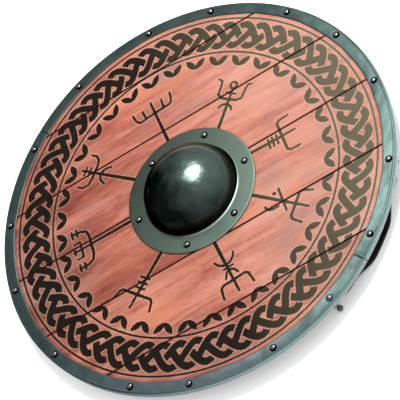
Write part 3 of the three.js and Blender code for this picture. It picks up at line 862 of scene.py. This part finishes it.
def boss_steel():
    """Dark polished steel on the dome, turned from near black to dark grey-green across it by a painted
    reflection, with a painted shade in the crease, and lightly oiled near the top on its brighter side, and satin
    grey-green steel on the flange, lighter towards the lower right by painted light, told apart by height. The
    flange has a painted highlight along its edge below the dome, and faint hammer marks lie under the polish."""
    material, tree, shader = new_material("boss_polished_steel")
    place = place_on_piece(tree)
    cloud = streaks(tree, (30, 30, 30), detail=3)
    speck = streaks(tree, (300, 300, 300), detail=3)
    polished = remap(tree, place["Z"], 0.0330, 0.0335)
    lower_right = minus(tree, place["X"], place["Y"])
    # Painted light: the satin flange is darker at the upper left and lighter towards the lower right.
    painted_flange_light = remap(tree, lower_right, -0.13, 0.13)
    satin = mix_colour(tree, painted_flange_light, linear(72, 81, 73), linear(114, 132, 119))
    clouded = times(tree, remap(tree, cloud, 0.45, 0.7), 0.3)
    satin = mix_colour(tree, clouded, satin, linear(84, 102, 96))
    from_middle = add_node(tree, "VectorMath", {0: flat_place(tree)}, operation="LENGTH").outputs["Value"]
    # Painted highlight: a pale line on the flange round the foot of the dome, on its lower side.
    lowest = minus(tree, times(tree, place["X"], 0.4), times(tree, place["Y"], 0.9))
    round_dome = remap(tree, from_middle, 0.0752, 0.0738)
    painted_edge_highlight = times(tree, round_dome, remap(tree, lowest, 0.042, 0.068))
    satin = mix_colour(tree, painted_edge_highlight, satin, linear(196, 214, 204))
    # Painted reflection: the dome's base colour goes from near black at one side to dark grey-green at the other,
    # broken up by the cloud. The same side also weights the oil coat below.
    painted_reflection_side = plus(tree, times(tree, place["X"], 0.85), times(tree, place["Y"], 0.12))
    painted_reflection_side = plus(tree, remap(tree, painted_reflection_side, -0.022, 0.044), remap(tree, cloud, 0.3, 0.7, -0.2, 0.2))
    dark = mix_colour(tree, painted_reflection_side, (0.007, 0.011, 0.009, 1), (0.058, 0.092, 0.078, 1))
    # Painted shade: the dome's base colour goes near black in the crease at its foot.
    painted_crease_shade = remap(tree, place["Z"], 0.0372, 0.0355)
    dark = mix_colour(tree, painted_crease_shade, dark, (0.010, 0.010, 0.009, 1))
    colour = mix_colour(tree, polished, satin, dark)
    tree.links.new(colour, shader.inputs["Base Color"])
    tree.links.new(remap(tree, polished, 0, 1, 0.42, 0.27), shader.inputs["Roughness"])
    near_top = remap(tree, place["Z"], 0.046, 0.064)
    oiled = times(tree, near_top, remap(tree, painted_reflection_side, 0.0, 0.7, 0.0, 0.8))
    tree.links.new(oiled, shader.inputs["Coat Weight"])
    shader.inputs["Coat Roughness"].default_value = 0.18
    shader.inputs["Metallic"].default_value = 1.0
    shader.inputs["Specular Tint"].default_value = (0.25, 0.25, 0.25, 1)
    height = times(tree, cloud, remap(tree, polished, 0, 1, 0.06, 1.0))
    raise_surface(tree, shader, plus(tree, height, times(tree, speck, 0.01)), 0.5, 0.005)
    return material


def build_boss():
    """The shell's outline: down the inside of the dome, out under the flange, round its edge, in over the
    flange, up through the crease and over the dome. Each dome line is a quarter ellipse, and the outer one is
    dented by low waves round it."""
    base = FLANGE_BOTTOM
    top = base + SHELL
    turn = np.linspace(math.pi / 2, 0, 28)
    inside = np.stack([(DOME_RADIUS - SHELL) * np.cos(turn), base + DOME_HEIGHT * np.sin(turn)], -1)
    edge_turn = np.linspace(-math.pi / 2, math.pi / 2, 7)
    half = SHELL / 2
    edge_out = FLANGE_RADIUS - half + half * np.cos(edge_turn)
    edge = np.stack([edge_out, base + half * (1 + np.sin(edge_turn))], -1)
    foot = DOME_RADIUS + CREASE
    flange = np.stack([np.linspace(FLANGE_RADIUS - 3, foot + 1, 8), np.full(8, top)], -1)
    crease_turn = np.linspace(-math.pi / 2, -math.pi + 0.12, 8)
    crease_up = top + CREASE * (1 + np.sin(crease_turn))
    crease = np.stack([foot + CREASE * np.cos(crease_turn), crease_up], -1)
    dome_turn = np.linspace(0.085, math.pi / 2, 40)
    dome = np.stack([DOME_RADIUS * np.cos(dome_turn), top + DOME_HEIGHT * np.sin(dome_turn)], -1)
    profile = np.vstack([inside, edge, flange, crease, dome])
    profile[0, 0] = profile[-1, 0] = 0
    points, quads, caps = turned_points(profile, 256)
    x, y, z = points.T
    angle = np.arctan2(y, x)
    radial = np.hypot(x, y)
    dent = 0.16 + 0.10 * np.sin(3 * angle + 0.08 * z) * np.sin(0.11 * z) + 0.06 * np.sin(7 * angle + 0.3 * z)
    dent *= np.clip((radial - 4) / 20, 0, 1)
    dented = (z > top + 6) & (radial > 4)
    points[:, :2] *= np.where(dented, 1 - dent / np.maximum(radial, 4), 1)[:, None]
    add_piece("boss_shell", points, quads, caps, "boss", boss_steel(), len(quads) + len(caps))


build_boss()


# ---- rivets ----
# Black iron rivets with domed, glossy heads. Six hold the boss and sixteen the rim, and their shanks go
# through the board and are hammered over at the back. Two of the sixteen also hold the strap.
HEAD_RADIUS = 5.2
HEAD_HEIGHT = 3.0
SHANK_RADIUS = 2.0
BOSS_RIVET_CIRCLE = 86.0
BOSS_RIVET_ANGLES = (-2, 57.5, 118, 180, 247.5, 302)
CLENCH_RADIUS, CLENCH_HEIGHT = 3.6, 1.6
RIM_RIVET_SEAT = RIM_TOP - 0.25


def black_iron(name, gloss_level):
    """Blackened iron with a faint brown bloom and fine pits, glossy above a given height in metres."""
    material, tree, shader = new_material(name)
    bloom = streaks(tree, (160, 160, 160), detail=3)
    browned = remap(tree, bloom, 0.4, 0.7)
    colour = mix_colour(tree, browned, (0.002, 0.003, 0.003, 1), (0.006, 0.006, 0.005, 1))
    tree.links.new(colour, shader.inputs["Base Color"])
    tree.links.new(remap(tree, bloom, 0.3, 0.7, 0.12, 0.18), shader.inputs["Roughness"])
    shader.inputs["Metallic"].default_value = 1.0
    shader.inputs["Specular Tint"].default_value = (0.0, 0.0, 0.0, 1)
    gloss = remap(tree, place_on_piece(tree)["Z"], gloss_level, gloss_level + 0.0005)
    tree.links.new(gloss, shader.inputs["Coat Weight"])
    shader.inputs["Coat IOR"].default_value = 2.0
    shader.inputs["Coat Roughness"].default_value = 0.03
    raise_surface(tree, shader, bloom, 0.15, 0.0005)
    return material


def rivet_outline(seat, back, clench_radius, clench_height):
    """Radius and height from the clenched end, up the shank, out under the head and over it as part of an
    ellipse."""
    turn = np.linspace(0, math.pi / 2, 9)
    clench = np.stack([clench_radius * np.sin(turn), back - clench_height * np.cos(turn) ** 0.8], -1)
    head = np.stack([HEAD_RADIUS * np.cos(turn), seat + HEAD_HEIGHT * np.sin(turn)], -1)
    head[0, 1] += 0.35
    shank = np.array([[SHANK_RADIUS, back], [SHANK_RADIUS, seat], [HEAD_RADIUS - 0.3, seat]])
    outline = np.vstack([clench, shank, head])
    outline[0, 0] = outline[-1, 0] = 0
    return outline


def place_rivet(name, node, radius, degrees, outline, finish):
    """The outline turned about an upright axis at a radius and an angle."""
    points, quads, caps = turned_points(outline, 28)
    points[:, 0] += radius * math.cos(math.radians(degrees))
    points[:, 1] += radius * math.sin(math.radians(degrees))
    add_piece(name, points, quads, caps, node, finish, len(quads) + len(caps))


def build_rivets():
    """The boss's rivets sit on its flange and the rim's on its face. Gives back the rim rivets' finish."""
    boss_iron = black_iron("boss_rivet_iron", 0.0350)
    rim_iron = black_iron("rim_rivet_iron", 0.0343)
    boss_seat = FLANGE_BOTTOM + SHELL + 0.1
    boss_outline = rivet_outline(boss_seat, BOARD_BACK - 0.1, CLENCH_RADIUS, CLENCH_HEIGHT)
    rim_outline = rivet_outline(RIM_RIVET_SEAT, RIM_BOTTOM - 0.1, CLENCH_RADIUS, CLENCH_HEIGHT)
    for number, degrees in enumerate(BOSS_RIVET_ANGLES, start=1):
        place_rivet(f"flange_rivet_{number}", f"boss_rivet_{number}", BOSS_RIVET_CIRCLE, degrees,
                    boss_outline, boss_iron)
    for number, degrees in enumerate(RIM_RIVET_ANGLES, start=1):
        if degrees not in (STRAP_STUD_ANGLE, STRAP_RIVET_ANGLE):
            place_rivet(f"hoop_rivet_{number}", f"rim_rivet_{number:02d}", RIM_RIVET_CIRCLE, degrees,
                        rim_outline, rim_iron)
    return rim_iron


rivet_finish = build_rivets()


# ---- batten screws ----
# Zinc-plated screws with cross recesses sit in shallow pockets and hold the battens and the grip from behind.
SCREW_HEAD_LOW = 1.0
SCREW_TIP = 28.0
SCREW_HEAD_RADIUS, SCREW_SHANK_RADIUS = 4.0, 1.8
RECESS_DEPTH = 1.3
SCREW_TURN = 0.7


def screw_zinc():
    """Dull zinc plate with a faint yellow tinge, cloudy where it has aged."""
    material, tree, shader = new_material("screw_zinc")
    film = streaks(tree, (180, 180, 180), detail=3)
    bright = remap(tree, film, 0.4, 0.65)
    colour = mix_colour(tree, bright, linear(136, 134, 122), linear(172, 168, 150))
    tree.links.new(colour, shader.inputs["Base Color"])
    tree.links.new(remap(tree, film, 0.3, 0.7, 0.3, 0.45), shader.inputs["Roughness"])
    shader.inputs["Metallic"].default_value = 0.95
    return material


def build_screws():
    """A turned outline: flat head face, countersunk cone, shank and point. The head's face is sunk along a
    cross, less towards the ends of its arms, and each screw stands turned a little further than the last."""
    zinc = screw_zinc()
    face_radii = np.linspace(0, 3.7, 12)
    face = np.stack([face_radii, np.full(12, SCREW_HEAD_LOW)], -1)
    rest = np.array([
        [SCREW_HEAD_RADIUS, SCREW_HEAD_LOW + 0.3],
        [SCREW_HEAD_RADIUS - 0.1, SCREW_HEAD_LOW + 0.6],
        [SCREW_SHANK_RADIUS, SCREW_HEAD_LOW + 2.6],
        [SCREW_SHANK_RADIUS, SCREW_TIP - 2],
        [0, SCREW_TIP],
    ])
    base_points, quads, caps = turned_points(np.vstack([face, rest]), 48)
    on_face = base_points[:, 2] < SCREW_HEAD_LOW + 0.01
    x, y = base_points[:, 0], base_points[:, 1]
    arm = np.minimum(np.abs(x), np.abs(y))
    reach = np.hypot(x, y)
    sunk = RECESS_DEPTH * (1 - eased_step(arm, 0.35, 0.75)) * (1 - eased_step(reach, 1.6, 2.4))
    base_points[:, 2] += np.where(on_face, sunk, 0)
    spots = [(x, row) for x in (-BATTEN_X, BATTEN_X) for row in BATTEN_SCREW_ROWS]
    spots += [(0, row) for row in GRIP_SCREW_ROWS]
    for number, (x, y) in enumerate(spots, start=1):
        cosine, sine = math.cos(SCREW_TURN * number), math.sin(SCREW_TURN * number)
        points = base_points @ np.array([[cosine, sine, 0], [-sine, cosine, 0], [0, 0, 1]]) + (x, y, 0)
        add_piece(f"screw_{number:02d}", points, quads, caps, f"batten_screw_{number:02d}", zinc,
                  len(quads) + len(caps))


build_screws()


# ---- carrying strap ----
# A flat black leather strap hangs behind the rim. A rivet holds one end and a ball-footed stud the other, and
# its slack middle lies on the floor and swings out past the rim.
STRAP_WIDTH, STRAP_TAB_WIDTH = 22.0, 15.0
STRAP_THICKNESS = 3.0
STRAP_MIDDLE_ANGLE = math.radians((STRAP_STUD_ANGLE + STRAP_RIVET_ANGLE) / 2)
STRAP_HALF_ANGLE = math.radians((STRAP_RIVET_ANGLE - STRAP_STUD_ANGLE) / 2)
STRAP_HALF_SPAN = RIM_RIVET_CIRCLE * math.sin(STRAP_HALF_ANGLE)
STRAP_LINE = RIM_RIVET_CIRCLE * math.cos(STRAP_HALF_ANGLE)
STRAP_BOW = 13.0
STRAP_TAB = 9.0
STRAP_END_HEIGHT = RIM_BOTTOM - 0.3 - STRAP_THICKNESS / 2
STRAP_SLACK_HEIGHT = STRAP_THICKNESS / 2 + 0.3


def strap_leather():
    """Black bridle leather with a fine pebbled grain and faint cloudy creases."""
    material, tree, shader = new_material("strap_black_leather")
    cells = {"Vector": add_node(tree, "TexCoord").outputs["Object"], "Scale": 900.0}
    pebble = add_node(tree, "TexVoronoi", cells).outputs["Distance"]
    crease = streaks(tree, (60, 60, 60), detail=4)
    colour = mix_colour(tree, remap(tree, crease, 0.4, 0.7), linear(16, 18, 19), linear(38, 38, 38))
    tree.links.new(colour, shader.inputs["Base Color"])
    tree.links.new(remap(tree, crease, 0.3, 0.7, 0.45, 0.65), shader.inputs["Roughness"])
    raise_surface(tree, shader, plus(tree, pebble, crease), 0.3, 0.0004)
    return material


def settle(t):
    """A smooth step from 0 to 1 with no slope or bend at its ends."""
    t = np.clip(t, 0, 1)
    return t**3 * (t * (6 * t - 15) + 10)


def strap_height(u):
    """Height of the strap's middle line: up under the rim at both ends, on the floor between."""
    rise = np.where(u < 0, settle((-u - 18) / 42), settle((u - 16) / 58))
    return STRAP_SLACK_HEIGHT + (STRAP_END_HEIGHT - STRAP_SLACK_HEIGHT) * rise


def build_strap():
    """A flat section with rounded sides carried along the strap's middle line, narrower at both tabs. The line
    bows out as a parabola between the two fastenings."""
    u = np.linspace(-STRAP_HALF_SPAN - STRAP_TAB, STRAP_HALF_SPAN + STRAP_TAB, 161)
    out = STRAP_LINE + STRAP_BOW * np.maximum(0, 1 - (u / STRAP_HALF_SPAN) ** 2)
    width = STRAP_WIDTH + (STRAP_TAB_WIDTH - STRAP_WIDTH) * settle((np.abs(u) - STRAP_HALF_SPAN + 24) / 18)
    ends = np.clip((STRAP_HALF_SPAN + STRAP_TAB - np.abs(u)) / 5, 0, 1)
    width = width * np.sqrt(np.clip(1 - (1 - ends) ** 2, 0.05, 1))
    slope = strap_height(u + 0.5) - strap_height(u - 0.5)
    steep = np.hypot(1, slope)
    turn = np.linspace(0, 2 * math.pi, 24, endpoint=False)
    across = np.sign(np.cos(turn)) * np.abs(np.cos(turn)) ** 0.35 / 2
    thick = np.sign(np.sin(turn)) * np.abs(np.sin(turn)) ** 0.5 / 2 * STRAP_THICKNESS
    along = u[:, None] - thick * (slope / steep)[:, None]
    outward = out[:, None] + across * width[:, None]
    up = strap_height(u)[:, None] + thick / steep[:, None]
    heading = STRAP_MIDDLE_ANGLE - math.pi / 2
    x = along * math.cos(heading) - outward * math.sin(heading)
    y = along * math.sin(heading) + outward * math.cos(heading)
    add_tube("leather_strap", np.stack([x, y, up], -1), "carry_strap", strap_leather())


# The strap's own rivet is clenched below the leather. The stud's stem leans out to a ball.
BALL_RADIUS = 4.6
BALL_OUT = 5.0
BALL_CLEARANCE = 0.6


def build_strap_fastenings():
    """The stud is one closed tube along a bent line: from the foot of the ball up the leaning stem, whose
    circles tilt with it, then up the shank and over the head."""
    strap_back = STRAP_END_HEIGHT - STRAP_THICKNESS / 2
    place_rivet("strap_end_rivet", "strap_rivet", RIM_RIVET_CIRCLE, STRAP_RIVET_ANGLE,
                rivet_outline(RIM_RIVET_SEAT, strap_back - 0.1, 5.0, 1.8), rivet_finish)
    ball_height = BALL_RADIUS + BALL_CLEARANCE
    bend = strap_back - 1
    head = rivet_outline(RIM_RIVET_SEAT, bend, 0.1, 0.0)[9:]
    stem_length = math.hypot(BALL_OUT, bend - ball_height)
    turn = np.linspace(math.asin(SHANK_RADIUS / BALL_RADIUS), math.pi, 14)
    ball_along = stem_length - BALL_RADIUS * np.cos(turn)
    stem_share = np.concatenate([ball_along[::-1], [2.0]]) / stem_length
    radii = np.concatenate([(BALL_RADIUS * np.sin(turn))[::-1], [SHANK_RADIUS]])
    angle = np.linspace(0, 2 * math.pi, 28, endpoint=False)
    lean = math.atan2(BALL_OUT, bend - ball_height)
    middle_out = BALL_OUT * stem_share
    middle_up = bend - (bend - ball_height) * stem_share
    circle_out = radii[:, None] * np.cos(angle)
    stem_out = middle_out[:, None] + circle_out * math.cos(lean)
    stem_up = middle_up[:, None] + circle_out * math.sin(lean)
    out = RIM_RIVET_CIRCLE + np.concatenate([stem_out, head[:, :1] * np.cos(angle)])
    side = np.concatenate([radii[:, None] * np.sin(angle), head[:, :1] * np.sin(angle)])
    up = np.concatenate([stem_up, np.repeat(head[:, 1:], len(angle), axis=1)])
    direction = math.radians(STRAP_STUD_ANGLE)
    x = out * math.cos(direction) - side * math.sin(direction)
    y = out * math.sin(direction) + side * math.cos(direction)
    add_tube("strap_ball_stud", np.stack([x, y, up], -1), "strap_stud", black_iron("stud_black_iron", 0.0))


build_strap()
build_strap_fastenings()
